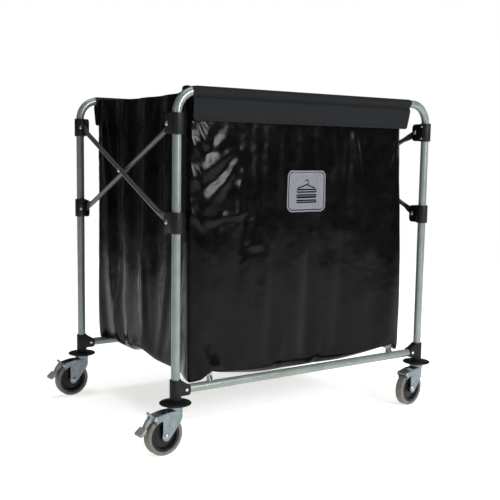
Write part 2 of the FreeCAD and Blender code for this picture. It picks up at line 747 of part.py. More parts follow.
def build_castor(name, side, front, braked):
    """One castor at its leg, turned to its resting swivel."""

    def placed(shape):
        return shift(turn(shape, REST_SWIVEL[name]), side * LEG_X, front * LEG_Y)

    save("castor_fork_" + name, placed(fork()))
    save("castor_axle_" + name, *[placed(s) for s in axle()])
    save("wheel_core_" + name, placed(wheel_core()))
    save("tyre_" + name, placed(tyre()))
    if braked:
        save("brake_lever_" + name, placed(brake_lever()))


os.makedirs("parts", exist_ok=True)
build_hoop_side("front", -1)
build_hoop_side("rear", 1)
save("outer_links", link(-1, True), link(1, True))
save("inner_links", link(-1, False), link(1, False))
save("link_centre_bolts", centre_bolt(-1), centre_bolt(1))
save("bag_left_panel", end_panel(BAG_LEFT_X))
save("bag_right_panel", end_panel(BAG_RIGHT_X - CLOTH_T))
save("bag_bottom_panel", bottom_panel())
for castor, side_x, side_y, has_brake in (
    ("front_left", -1, -1, True),
    ("front_right", 1, -1, False),
    ("rear_left", -1, 1, True),
    ("rear_right", 1, 1, False),
):
    build_castor(castor, side_x, side_y, has_brake)
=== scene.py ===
"""Visual model of a folding linen trolley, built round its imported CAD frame."""

import logging
import math
from dataclasses import dataclass, field
from enum import Enum

import bmesh
import bpy
import numpy as np
from mathutils import Matrix, Vector, noise
from mathutils.bvhtree import BVHTree


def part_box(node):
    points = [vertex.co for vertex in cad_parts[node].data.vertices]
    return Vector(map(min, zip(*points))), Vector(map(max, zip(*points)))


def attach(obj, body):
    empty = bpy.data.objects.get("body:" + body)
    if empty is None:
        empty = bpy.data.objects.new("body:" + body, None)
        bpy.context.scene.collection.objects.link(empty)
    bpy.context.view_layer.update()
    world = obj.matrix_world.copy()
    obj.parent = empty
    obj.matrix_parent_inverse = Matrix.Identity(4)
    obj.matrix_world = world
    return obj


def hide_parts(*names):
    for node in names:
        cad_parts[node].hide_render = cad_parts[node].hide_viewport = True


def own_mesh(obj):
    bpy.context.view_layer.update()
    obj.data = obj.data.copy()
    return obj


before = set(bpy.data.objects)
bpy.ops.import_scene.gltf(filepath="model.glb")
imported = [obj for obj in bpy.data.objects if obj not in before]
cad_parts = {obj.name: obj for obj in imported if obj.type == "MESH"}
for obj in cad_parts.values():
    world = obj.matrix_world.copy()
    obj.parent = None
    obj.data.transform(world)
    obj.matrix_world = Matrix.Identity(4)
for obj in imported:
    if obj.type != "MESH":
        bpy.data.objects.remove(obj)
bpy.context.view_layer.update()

log = logging.getLogger("linen_trolley")
MM = 0.001
LEGS_CENTRE = 0.034


# ------------------------------------------------------------------ small tools


def linear(hex_colour: str) -> tuple[float, float, float, float]:
    """Turn an sRGB hex colour into linear light.

    Args:
        hex_colour: Six hex digits, with or without a leading hash.

    Returns:
        Red, green, blue and an alpha of 1.
    """
    digits = hex_colour.lstrip("#")
    parts = [int(digits[n:n + 2], 16) / 255 for n in (0, 2, 4)]
    light = [c / 12.92 if c <= 0.04045 else ((c + 0.055) / 1.055) ** 2.4 for c in parts]
    return (light[0], light[1], light[2], 1.0)


def add_node(tree: bpy.types.NodeTree, kind: str, settings: dict | None = None,
             inputs: dict | None = None) -> bpy.types.Node:
    """Add one shader node with its settings, values and links.

    Args:
        tree: The material's node tree.
        kind: The node's type name.
        settings: Values of the node's own properties.
        inputs: A value or an output socket for each named or numbered input.

    Returns:
        The new node.
    """
    node = tree.nodes.new(kind)
    for name, value in (settings or {}).items():
        setattr(node, name, value)
    for key, value in (inputs or {}).items():
        socket = node.inputs[key]
        if isinstance(value, bpy.types.NodeSocket):
            tree.links.new(value, socket)
        else:
            socket.default_value = value
    return node


def per_metre(feature_mm: float) -> float:
    """Texture scale whose pattern repeats about every given number of millimetres."""
    return 1000.0 / feature_mm


def smooth_step(value: np.ndarray | float, low: float, high: float) -> np.ndarray | float:
    """Ease from 0 at low to 1 at high."""
    t = np.clip((value - low) / (high - low), 0.0, 1.0)
    return t * t * (3.0 - 2.0 * t)


def node_box(name: str) -> tuple[Vector, Vector]:
    """Lowest and highest corner of a CAD node, in metres."""
    low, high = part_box(name)
    return Vector(low), Vector(high)


def add_object(name: str, mesh: bpy.types.Mesh) -> bpy.types.Object:
    """Put a mesh into the scene as an object of its own."""
    made = bpy.data.objects.new(name, mesh)
    bpy.context.scene.collection.objects.link(made)
    return made


def mesh_from(name: str, points: list, faces: list) -> bpy.types.Object:
    """Make an object from points and faces."""
    mesh = bpy.data.meshes.new(name)
    mesh.from_pydata([tuple(p) for p in points], [], faces)
    mesh.validate()
    return add_object(name, mesh)


def apply_modifiers(piece: bpy.types.Object) -> None:
    """Write a piece's modifiers into its mesh."""
    graph = bpy.context.evaluated_depsgraph_get()
    final = bpy.data.meshes.new_from_object(piece.evaluated_get(graph))
    piece.modifiers.clear()
    piece.data = final


def shade(piece: bpy.types.Object, sharp_degrees: float = 35.0) -> None:
    """Smooth a mesh, with edges sharper than the angle left crisp."""
    piece.data.polygons.foreach_set("use_smooth", [True] * len(piece.data.polygons))
    piece.data.set_sharp_from_angle(angle=math.radians(sharp_degrees))
    piece.data.update()


def dress(piece: bpy.types.Object, material: bpy.types.Material) -> None:
    """Give a piece one material over all its faces."""
    piece.data.materials.clear()
    piece.data.materials.append(material)
    piece.data.polygons.foreach_set("material_index", [0] * len(piece.data.polygons))


def dress_node(name: str, material: bpy.types.Material) -> None:
    """Give a carried-over CAD node its finish through its material slots."""
    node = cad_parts[name]
    if not node.material_slots:
        node.data.materials.append(material)
    for slot in node.material_slots:
        slot.link = "OBJECT"
        slot.material = material


def softened(node: str, body: str, width: float, material: bpy.types.Material) -> bpy.types.Object:
    """Stand in for a CAD node with a copy whose hard edges carry a small radius.

    Args:
        node: The CAD node that the piece replaces.
        body: The body that the piece rides on.
        width: Edge radius in metres.
        material: The piece's finish.

    Returns:
        The finished piece.
    """
    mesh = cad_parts[node].data.copy()
    form = bmesh.new()
    form.from_mesh(mesh)
    bmesh.ops.remove_doubles(form, verts=form.verts, dist=2e-6)
    bmesh.ops.dissolve_limit(form, angle_limit=math.radians(0.8), verts=form.verts, edges=form.edges)
    form.to_mesh(mesh)
    form.free()
    piece = add_object(node + "_finished", mesh)
    bevel = piece.modifiers.new("edge_radius", "BEVEL")
    bevel.width = width
    bevel.segments = 3
    bevel.limit_method = "ANGLE"
    bevel.angle_limit = math.radians(38.0)
    bevel.miter_outer = "MITER_ARC"
    apply_modifiers(piece)
    shade(piece, 32.0)
    dress(piece, material)
    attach(piece, body)
    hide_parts(node)
    return piece


# ------------------------------------------------------------------ finishes


@dataclass(frozen=True)
class Finish:
    """What every finish has: a name, two tones and a gloss."""

    name: str
    colour: str
    deep: str
    roughness: float

    def start(self) -> tuple[bpy.types.Material, bpy.types.NodeTree, bpy.types.NodeSocket]:
        """Make an empty material.

        Returns:
            The material, its node tree and an object coordinate socket in metres.
        """
        material = bpy.data.materials.new(self.name)
        material.use_nodes = True
        tree = material.node_tree
        tree.nodes.clear()
        place = add_node(tree, "ShaderNodeTexCoord").outputs["Object"]
        return material, tree, place

    def end(self, tree: bpy.types.NodeTree, shader: dict) -> None:
        """Close the tree with its shader and output.

        Args:
            tree: The material's node tree.
            shader: Values and links of the shader's inputs.
        """
        surface = add_node(tree, "ShaderNodeBsdfPrincipled", inputs=shader)
        add_node(tree, "ShaderNodeOutputMaterial", inputs={"Surface": surface.outputs["BSDF"]})

    def mottled(self, tree: bpy.types.NodeTree, place: bpy.types.NodeSocket, feature_mm: float,
                low: float = 0.35, high: float = 0.65) -> bpy.types.NodeSocket:
        """Colour that drifts between the two tones.

        Args:
            tree: The material's node tree.
            place: Coordinates in metres.
            feature_mm: Size of a patch.
            low: Noise value of the deep tone.
            high: Noise value of the main tone.

        Returns:
            The colour socket.
        """
        patches = add_node(tree, "ShaderNodeTexNoise", {"noise_dimensions": "3D"},
                           {"Vector": place, "Scale": per_metre(feature_mm), "Detail": 5.0, "Roughness": 0.6})
        ramp = add_node(tree, "ShaderNodeValToRGB", inputs={"Fac": patches.outputs["Fac"]})
        ramp.color_ramp.elements[0].position = low
        ramp.color_ramp.elements[0].color = linear(self.deep)
        ramp.color_ramp.elements[1].position = high
        ramp.color_ramp.elements[1].color = linear(self.colour)
        return ramp.outputs["Color"]

    def grain(self, tree: bpy.types.NodeTree, place: bpy.types.NodeSocket, feature_mm: float,
              detail: float, roughness: float = 0.5, distortion: float = 0.0) -> bpy.types.NodeSocket:
        """Noise from 0 to 1 with features of a given size.

        Args:
            tree: The material's node tree.
            place: Coordinates in metres.
            feature_mm: Size of a feature.
            detail: Number of finer layers.
            roughness: Strength of the finer layers.
            distortion: How far the pattern is bent.

        Returns:
            The noise value's socket.
        """
        node = add_node(tree, "ShaderNodeTexNoise", inputs={
            "Vector": place, "Scale": per_metre(feature_mm), "Detail": detail,
            "Roughness": roughness, "Distortion": distortion})
        return node.outputs["Fac"]

    def relief(self, tree: bpy.types.NodeTree, height: bpy.types.NodeSocket, strength: float,
               distance: float) -> bpy.types.NodeSocket:
        """Normal that a height pattern bends.

        Args:
            tree: The material's node tree.
            height: Pattern from 0 to 1.
            strength: Share of the effect.
            distance: Depth of the pattern in metres.

        Returns:
            The normal's socket.
        """
        node = add_node(tree, "ShaderNodeBump", inputs={
            "Strength": strength, "Distance": distance, "Height": height})
        return node.outputs["Normal"]

    def gloss(self, tree: bpy.types.NodeTree, source: bpy.types.NodeSocket,
              spread: float) -> bpy.types.NodeSocket:
        """Roughness that varies about the finish's own value.

        Args:
            tree: The material's node tree.
            source: Pattern from 0 to 1.
            spread: Half the range of roughness.

        Returns:
            The roughness socket.
        """
        band = add_node(tree, "ShaderNodeMapRange", inputs={
            "Value": source, "From Min": 0.3, "From Max": 0.7,
            "To Min": max(0.02, self.roughness - spread), "To Max": min(1.0, self.roughness + spread)})
        return band.outputs["Result"]


@dataclass(frozen=True)
class PowderCoatedSteel(Finish):
    """Silver-sage polyester powder, sprayed and stoved on steel tube.

    The stoved film flows into a fine orange peel that softens each highlight, and the
    metal flake in it shows as a faint grain.
    """

    peel_mm: float = 3.2
    flake_mm: float = 1.1

    def build(self) -> bpy.types.Material:
        """Build the material."""
        material, tree, place = self.start()
        colour = self.mottled(tree, place, 55.0, 0.25, 0.7)
        # real flake is under 0.1 mm; it is drawn at about 1 mm so that it shows
        flake = add_node(tree, "ShaderNodeTexVoronoi", {"feature": "F1"},
                         {"Vector": place, "Scale": per_metre(self.flake_mm)})
        sparkle = add_node(tree, "ShaderNodeMix", {"data_type": "RGBA", "blend_type": "SOFT_LIGHT"},
                           {"Factor": 0.22, "A": colour, "B": flake.outputs["Color"]})
        scuffs = self.grain(tree, place, 18.0, 8.0, 0.7, 1.2)
        bump = self.relief(tree, self.grain(tree, place, self.peel_mm, 2.0), 0.12, 0.4 * MM)
        self.end(tree, {"Base Color": sparkle.outputs["Result"], "Metallic": 0.35,
                        "Roughness": self.gloss(tree, scuffs, 0.07),
                        "Coat Weight": 0.15, "Coat Roughness": 0.25, "Normal": bump})
        return material


@dataclass(frozen=True)
class MouldedNylon(Finish):
    """Glass-filled nylon, injection moulded in a spark-eroded tool.

    The tool's texture leaves an even fine grain, and handling polishes it in patches.
    """

    grain_mm: float = 0.9

    def build(self) -> bpy.types.Material:
        """Build the material."""
        material, tree, place = self.start()
        colour = self.mottled(tree, place, 22.0)
        # spark texture is about 0.1 mm across; it is drawn near 1 mm to show
        spark = add_node(tree, "ShaderNodeTexVoronoi", {"feature": "SMOOTH_F1"},
                         {"Vector": place, "Scale": per_metre(self.grain_mm)})
        polish = self.grain(tree, place, 30.0, 6.0, 0.65)
        self.end(tree, {"Base Color": colour, "Roughness": self.gloss(tree, polish, 0.1),
                        "IOR": 1.53, "Specular IOR Level": 0.22,
                        "Normal": self.relief(tree, spark.outputs["Distance"], 0.25, 0.3 * MM)})
        return material


@dataclass(frozen=True)
class ZincPlatedSteel(Finish):
    """Bright zinc plated on pressed steel sheet and on turned bolts.

    The plating is a little cloudy, with fine draw lines from the press tool.
    """

    cloud_mm: float = 14.0

    def build(self) -> bpy.types.Material:
        """Build the material."""
        material, tree, place = self.start()
        colour = self.mottled(tree, place, self.cloud_mm, 0.3, 0.6)
        stretch = add_node(tree, "ShaderNodeMapping", inputs={"Vector": place, "Scale": (1.0, 1.0, 0.12)})
        lines = self.grain(tree, stretch.outputs["Vector"], 1.4, 3.0)
        self.end(tree, {"Base Color": colour, "Metallic": 0.9,
                        "Roughness": self.gloss(tree, lines, 0.09),
                        "Normal": self.relief(tree, lines, 0.1, 0.2 * MM)})
        return material


@dataclass(frozen=True)
class BurnishedAluminium(Finish):
    """Rivet alloy, cold headed, so its dome is burnished smooth with a few nicks."""

    def build(self) -> bpy.types.Material:
        """Build the material."""
        material, tree, place = self.start()
        colour = self.mottled(tree, place, 3.0)
        nicks = add_node(tree, "ShaderNodeTexVoronoi", {"feature": "DISTANCE_TO_EDGE"},
                         {"Vector": place, "Scale": per_metre(2.5)})
        self.end(tree, {"Base Color": colour, "Metallic": 1.0, "Roughness": self.roughness,
                        "Normal": self.relief(tree, nicks.outputs["Distance"], 0.08, 0.2 * MM)})
        return material


@dataclass(frozen=True)
class CastRubber(Finish):
    """Non-marking grey rubber, cast on the wheel and ground true.

    Grinding leaves a matt nap, and floor dust sits in it.
    """

    def build(self) -> bpy.types.Material:
        """Build the material."""
        material, tree, place = self.start()
        colour = self.mottled(tree, place, 9.0)
        nap = self.grain(tree, place, 1.3, 6.0, 0.75)
        self.end(tree, {"Base Color": colour, "IOR": 1.52, "Roughness": self.gloss(tree, nap, 0.1),
                        "Normal": self.relief(tree, nap, 0.3, 0.4 * MM)})
        return material


@dataclass(frozen=True)
class CoatedPolyester(Finish):
    """Polyester cloth with a calendered vinyl face.

    The face is glossy, so each crease carries a hard streak of light; the thread under
    it prints through as a fine regular grain.
    """

    thread_mm: float = 1.6
    crinkle_mm: float = 16.0

    def build(self) -> bpy.types.Material:
        """Build the material."""
        material, tree, place = self.start()
        colour = self.mottled(tree, place, 90.0)
        # thread pitch is about 0.5 mm; it is drawn three times as coarse so that it shows
        across = add_node(tree, "ShaderNodeTexWave", {"bands_direction": "Z", "wave_profile": "SIN"},
                          {"Vector": place, "Scale": per_metre(self.thread_mm) / 20.0, "Distortion": 0.6})
        crinkle = add_node(tree, "ShaderNodeTexNoise", {"noise_type": "RIDGED_MULTIFRACTAL"}, {
            "Vector": place, "Scale": per_metre(self.crinkle_mm * 4.0), "Detail": 4.0, "Roughness": 0.45,
            "Lacunarity": 2.1, "Distortion": 0.8})
        handling = self.grain(tree, place, 45.0, 7.0, 0.62)
        fine = self.relief(tree, across.outputs["Fac"], 0.05, 0.2 * MM)
        bump = add_node(tree, "ShaderNodeBump", inputs={
            "Strength": 0.35, "Distance": 1.1 * MM, "Height": crinkle.outputs["Fac"], "Normal": fine})
        self.end(tree, {"Base Color": colour, "IOR": 1.45, "Specular IOR Level": 0.12,
                        "Roughness": self.gloss(tree, handling, 0.09),
                        "Normal": bump.outputs["Normal"]})
        return material


@dataclass(frozen=True)
class WovenPolyester(Finish):
    """Heavy plain-weave polyester, dyed charcoal and left uncoated.

    Its crossed threads scatter light, so it stays matt, with a faint bloom at the edges.
    """

    thread_mm: float = 2.2

    def build(self) -> bpy.types.Material:
        """Build the material."""
        material, tree, place = self.start()
        colour = self.mottled(tree, place, 60.0, 0.2, 0.75)
        # thread pitch is about 0.8 mm; it is drawn near 2 mm so that the weave shows
        pitch = per_metre(self.thread_mm) / 20.0
        warp, weft = (add_node(tree, "ShaderNodeTexWave", {"bands_direction": axis, "wave_profile": "SIN"},
                               {"Vector": place, "Scale": pitch, "Distortion": 0.4}) for axis in "XZ")
        weave = add_node(tree, "ShaderNodeMath", {"operation": "MULTIPLY"},
                         {0: warp.outputs["Fac"], 1: weft.outputs["Fac"]})
        lint = add_node(tree, "ShaderNodeTexNoise", inputs={
            "Vector": place, "Scale": per_metre(7.0), "Detail": 8.0, "Roughness": 0.7})
        soil = add_node(tree, "ShaderNodeMix", {"data_type": "RGBA", "blend_type": "SOFT_LIGHT"},
                        {"Factor": 0.35, "A": colour, "B": lint.outputs["Color"]})
        self.end(tree, {"Base Color": soil.outputs["Result"], "Sheen Weight": 0.02, "Sheen Roughness": 0.5,
                        "Roughness": self.gloss(tree, lint.outputs["Fac"], 0.08),
                        "Specular IOR Level": 0.15,
                        "Normal": self.relief(tree, weave.outputs["Value"], 0.4, 0.5 * MM)})
        return material


@dataclass(frozen=True)
class ScreenPrintInk(Finish):
    """Matt vinyl ink, screen printed, a little thin where the cloth was uneven."""

    def build(self) -> bpy.types.Material:
        """Build the material."""
        material, tree, place = self.start()
        colour = self.mottled(tree, place, 5.0, 0.3, 0.5)
        mesh_marks = self.grain(tree, place, 1.5, 2.0)
        self.end(tree, {"Base Color": colour, "Roughness": self.gloss(tree, mesh_marks, 0.06),
                        "Specular IOR Level": 0.3,
                        "Normal": self.relief(tree, mesh_marks, 0.15, 0.2 * MM)})
        return material


@dataclass(frozen=True)
class LitFloor(Finish):
    """Pale matt acrylic studio floor, lit a little from below so that it stays white."""

    glow: float = 0.74

    def build(self) -> bpy.types.Material:
        """Build the material."""
        material, tree, place = self.start()
        colour = self.mottled(tree, place, 900.0)
        self.end(tree, {"Base Color": colour, "Roughness": self.roughness, "Specular IOR Level": 0.2,
                        "Emission Color": colour, "Emission Strength": self.glow})
        return material


class Finishes:
    """Every finish on the trolley, each built once."""

    def __init__(self) -> None:
        """Build the materials."""
        self.tube = PowderCoatedSteel("powder_coated_steel_tube", "#828C86", "#707974", 0.34).build()
        # painted shade: the links take the tube's powder coat in a darker tone, standing in for the shade
        # they sit in
        self.link = PowderCoatedSteel("powder_coated_steel_link_painted_shade", "#515754", "#434946", 0.38).build()
        self.nylon = MouldedNylon("moulded_nylon_black", "#0D0E10", "#08090A", 0.5).build()
        self.core = MouldedNylon("moulded_polypropylene_wheel_core", "#141416", "#0D0D0F", 0.42).build()
        self.pedal = MouldedNylon("moulded_nylon_grey_pedal", "#8C9493", "#767E7D", 0.42).build()
        self.bush = MouldedNylon("moulded_acetal_white", "#C9C8C2", "#B9B7AF", 0.45).build()
        self.zinc = ZincPlatedSteel("zinc_plated_pressed_steel", "#7F8A8E", "#69747A", 0.38).build()
        self.bolt = ZincPlatedSteel("zinc_plated_turned_steel", "#A4AAAA", "#8A9090", 0.32, 5.0).build()
        self.rivet = BurnishedAluminium("burnished_aluminium_rivet", "#D3D5D4", "#BFC1C0", 0.28).build()
        self.rubber = CastRubber("cast_rubber_tread_grey", "#6D6963", "#5E5A54", 0.62).build()
        self.bag = CoatedPolyester("vinyl_coated_polyester_black", "#060607", "#040405", 0.22).build()
        self.hem = WovenPolyester("woven_polyester_charcoal", "#131518", "#0E1012", 0.72).build()
        self.thread = WovenPolyester("twisted_polyester_thread", "#2C3035", "#202327", 0.6, 1.0).build()
        self.ink = ScreenPrintInk("screen_print_ink_grey", "#6C6F77", "#5E6168", 0.6).build()
        self.floor = LitFloor("lit_acrylic_floor", "#F6F6F5", "#F2F2F1", 0.7).build()


# ------------------------------------------------------------------ studio


@dataclass
class SoftLight:
    """One square soft box aimed at a point on the trolley."""

    name: str
    place: tuple[float, float, float]
    target: tuple[float, float, float]
    size: float
    watts: float

    def build(self) -> None:
        """Make the light."""
        lamp = bpy.data.lights.new(self.name, "AREA")
        lamp.size = self.size
        lamp.energy = self.watts
        light = bpy.data.objects.new(self.name, lamp)
        light.location = self.place
        light.rotation_mode = "QUATERNION"
        aim = Vector(self.target) - Vector(self.place)
        light.rotation_quaternion = aim.to_track_quat("-Z", "Y")
        bpy.context.scene.collection.objects.link(light)


@dataclass
class Studio:
    """Camera, soft light and pale floor."""

    eye: tuple[float, float, float] = (-1.3314, -2.0512, 0.7363)
    yaw: float = 0.5882
    pitch: float = 0.1154
    roll: float = 0.0158
    lens_mm: float = 59.83
    floor_radius: float = 3.6
    room: float = 0.12
    overhead: float = 1.2
    lights: list[SoftLight] = field(default_factory=lambda: [
        SoftLight("key_soft_box", (0.65, -3.0, 1.6), (-0.2, -0.3, 0.65), 1.0, 88.0),
        SoftLight("edge_soft_box", (-2.6, -1.2, 1.4), (-0.3, 0.0, 0.6), 0.5, 3.5),
        SoftLight("fill_soft_box", (2.8, -1.0, 1.2), (0.3, 0.0, 0.5), 0.8, 8.0),
    ])

    def build(self, finishes: Finishes) -> None:
        """Make the camera, the lights, the surroundings and the floor.

        Args:
            finishes: The trolley's finishes, for the floor.
        """
        self.aim_camera()
        for light in self.lights:
            light.build()
        self.surround()
        self.lay_floor(finishes.floor)
        bpy.context.scene.view_settings.view_transform = "Standard"
        log.info("studio: camera, %d lights and floor", len(self.lights))

    def aim_camera(self) -> None:
        """Place the camera from its yaw, pitch and roll."""
        level = Vector((math.cos(self.yaw), -math.sin(self.yaw), 0.0))
        ahead = Vector((math.sin(self.yaw) * math.cos(self.pitch),
                        math.cos(self.yaw) * math.cos(self.pitch), -math.sin(self.pitch)))
        above = level.cross(ahead)
        right = level * math.cos(self.roll) + above * math.sin(self.roll)
        top = above * math.cos(self.roll) - level * math.sin(self.roll)
        turn = Matrix((right, top, -ahead)).transposed()
        lens = bpy.data.cameras.new("camera")
        lens.lens = self.lens_mm
        lens.sensor_width = 36.0
        camera = bpy.data.objects.new("camera", lens)
        camera.matrix_world = Matrix.Translation(self.eye) @ turn.to_4x4()
        bpy.context.scene.collection.objects.link(camera)
        bpy.context.scene.camera = camera

    def surround(self) -> None:
        """White backdrop, a dimmer room round it and an even overhead light on the floor."""
        world = bpy.data.worlds.new("studio")
        world.use_nodes = True
        tree = world.node_tree
        tree.nodes.clear()
        seen = add_node(tree, "ShaderNodeLightPath").outputs["Is Camera Ray"]
        strength = add_node(tree, "ShaderNodeMapRange", inputs={
            "Value": seen, "To Min": self.room, "To Max": 1.0})
        light = add_node(tree, "ShaderNodeBackground", inputs={
            "Color": linear("#FFFFFF"), "Strength": strength.outputs["Result"]})
        add_node(tree, "ShaderNodeOutputWorld", inputs={"Surface": light.outputs["Background"]})
        bpy.context.scene.world = world
        lamp = bpy.data.lights.new("overhead", "SUN")
        lamp.energy = self.overhead
        lamp.angle = math.radians(30.0)
        bpy.context.scene.collection.objects.link(bpy.data.objects.new("overhead", lamp))

    def lay_floor(self, material: bpy.types.Material) -> None:
        """Lay the floor that the wheels stand on."""
        turns = [math.tau * n / 96 for n in range(96)]
        rim = [(self.floor_radius * math.cos(a), self.floor_radius * math.sin(a), 0.0) for a in turns]
        floor = mesh_from("studio_floor", rim, [tuple(range(96))])
        dress(floor, material)


# ------------------------------------------------------------------ frame


class End(Enum):
    """The front or rear half of the trolley, with its sign along Y."""

    FRONT = -1
    REAR = 1

    @property
    def word(self) -> str:
        """Name used in node and body names."""
        return self.name.lower()


@dataclass
class FoldingFrame:
    """Hoops, rails, links, brackets, stays and their fasteners."""

    bracket_edge: float = 0.8 * MM
    strip_edge: float = 0.4 * MM

    def build(self, finishes: Finishes) -> None:
        """Dress the metal and round the mouldings' edges.

        Args:
            finishes: The trolley's finishes.
        """
        for end in End:
            self.dress_end(end, finishes)
        # the links' darker coat is painted shade, not a different paint
        dress_node("inner_links", finishes.link)
        dress_node("outer_links", finishes.link)
        dress_node("link_centre_bolts", finishes.bolt)
        log.info("frame: hoops, rails, links, brackets and stays dressed")

    def dress_end(self, end: End, finishes: Finishes) -> None:
        """Dress everything on one hoop."""
        name = end.word
        plain = {"hoop": finishes.tube, "rail": finishes.tube, "rail_plugs": finishes.bush,
                 "leg_plugs": finishes.bush, "rivets": finishes.rivet, "link_bolts": finishes.bolt,
                 "slide_bolts": finishes.bolt, "castor_stems": finishes.bolt, "stay_heads": finishes.rivet}
        for part, material in plain.items():
            dress_node(f"{name}_{part}", material)
        body = f"{name}_frame"
        for part, owner, edge, material, slot in (
            ("upper_brackets", body, self.bracket_edge, finishes.nylon, "black_plastic"),
            ("slide_brackets", f"{name}_slides", self.bracket_edge, finishes.nylon, "black_plastic"),
            ("foot_brackets", body, self.bracket_edge, finishes.nylon, "black_plastic"),
            ("bumper_discs", body, self.bracket_edge, finishes.nylon, "black_plastic"),
            ("stay_lugs", body, self.strip_edge, finishes.tube, "frame_tube"),
            ("stays", f"{name}_stays", self.strip_edge, finishes.tube, "frame_tube"),
        ):
            softened(f"{name}_{part}", owner, edge, material)


@dataclass
class Castor:
    """One swivel castor."""

    corner: str
    braked: bool
    sheet_edge: float = 0.5 * MM

    def build(self, finishes: Finishes) -> None:
        """Dress the castor.

        Args:
            finishes: The trolley's finishes.
        """
        softened(f"castor_fork_{self.corner}", f"fork_{self.corner}", self.sheet_edge, finishes.zinc)
        dress_node(f"castor_axle_{self.corner}", finishes.bolt)
        dress_node(f"wheel_core_{self.corner}", finishes.core)
        dress_node(f"tyre_{self.corner}", finishes.rubber)
        if self.braked:
            softened(f"brake_lever_{self.corner}", f"brake_{self.corner}", self.sheet_edge,
                     finishes.pedal)
        log.info("castor %s: %s", self.corner, "braked" if self.braked else "free")


# ------------------------------------------------------------------ bag


@dataclass
class BagSpace:
    """The room that the frame gives the bag, read from its plain CAD panels."""

    left: float = 0.0
    right: float = 0.0
    front: float = 0.0
    rear: float = 0.0
    low: float = 0.0
    hem_low: float = 0.0
    bar_z: float = 0.0
    bar_y: float = 0.0
    bar_r: float = 0.0
    stay_x: tuple[float, float] = (0.0, 0.0)
    fold_travel: float = 0.382

    @property
    def inset(self) -> float:
        """How far the cloth keeps inboard of a top bar's axis where it passes the bar."""
        return self.bar_r + 2.6 * MM

    @property
    def fold_anchor(self) -> tuple[float, float, float]:
        """Point of the folding squash that stays where it is, in the front wall."""
        return (0.0, self.front, 0.0)

    @property
    def fold_keep(self) -> float:
        """Share of the bag's depth that is left once it is folded."""
        depth = self.rear - self.front
        return (depth - self.fold_travel) / depth

    @classmethod
    def from_frame(cls) -> "BagSpace":
        """Read the sizes from the frame's boxes.

        Returns:
            The bag's space in metres.
        """
        front_low, front_high = node_box("bag_front_panel")
        _, rear_high = node_box("bag_rear_panel")
        hem_low, _ = node_box("front_hem_sleeve")
        rail_low, rail_high = node_box("front_rail")
        _, hoop_high = node_box("front_hoop")
        stay_low, stay_high = node_box("front_stays")
        radius = (rail_high.z - rail_low.z) / 2
        stay_t = 5 * MM
        return cls(left=front_low.x, right=front_high.x, front=front_low.y, rear=rear_high.y, low=front_low.z,
                   hem_low=hem_low.z, bar_z=hoop_high.z - radius, bar_y=(rail_high.y + rail_low.y) / 2,
                   bar_r=radius, stay_x=(stay_low.x + stay_t / 2, stay_high.x - stay_t / 2))


@dataclass(frozen=True)
class Crease:
    """One ridge pressed into a panel, from one point to another on its plan."""

    start: tuple[float, float]
    end: tuple[float, float]
    width: float
    height: float

    def lift(self, across: np.ndarray, up: np.ndarray) -> np.ndarray:
        """Height of the ridge at points of the panel.

        Args:
            across: Distance along the panel from its left corner.
            up: Height above the floor.

        Returns:
            How far each point is lifted.
        """
        run = np.subtract(self.end, self.start)
        length = float(np.hypot(*run))
        along = ((across - self.start[0]) * run[0] + (up - self.start[1]) * run[1]) / length
        aside = ((across - self.start[0]) * run[1] - (up - self.start[1]) * run[0]) / length
        taper = smooth_step(along, -0.02, 0.25 * length)
        taper = taper * (1 - smooth_step(along, 0.6 * length, length + 0.02))
        crest = np.exp(-((aside / self.width) ** 2))
        valley = 0.45 * np.exp(-(((aside - 1.9 * self.width) / self.width) ** 2))
        return self.height * taper * (crest - valley)


@dataclass(frozen=True)
class PulledFolds:
    """Fan of straight folds that run together towards one point, as where cloth is pulled."""

    gather: tuple[float, float]
    heading: float
    spread: float
    count: float
    height: float
    near: float
    far: float

    def lift(self, across: np.ndarray, up: np.ndarray) -> np.ndarray:
        """Height of the folds at points of the panel.

        Args:
            across: Distance along the panel from its left corner.
            up: Height above the floor.

        Returns:
            How far each point is lifted.
        """
        dx, dz = across - self.gather[0], up - self.gather[1]
        away = np.hypot(dx, dz)
        angle = (np.arctan2(dz, dx) - self.heading + math.pi) % math.tau - math.pi
        inside = smooth_step(self.spread - np.abs(angle), 0.0, 0.25 * self.spread)
        inside = inside * smooth_step(away, 0.0, self.near)
        inside = inside * (1 - smooth_step(away, 0.72 * self.far, self.far))
        turn = angle / self.spread * self.count + 0.1 * np.sin(away * 40.0 + angle * 5.0)
        wave = 2 * np.abs(2 * (turn - np.floor(turn + 0.5))) - 1
        return self.height * np.minimum(away / self.far + 0.35, 1.0) * wave * inside


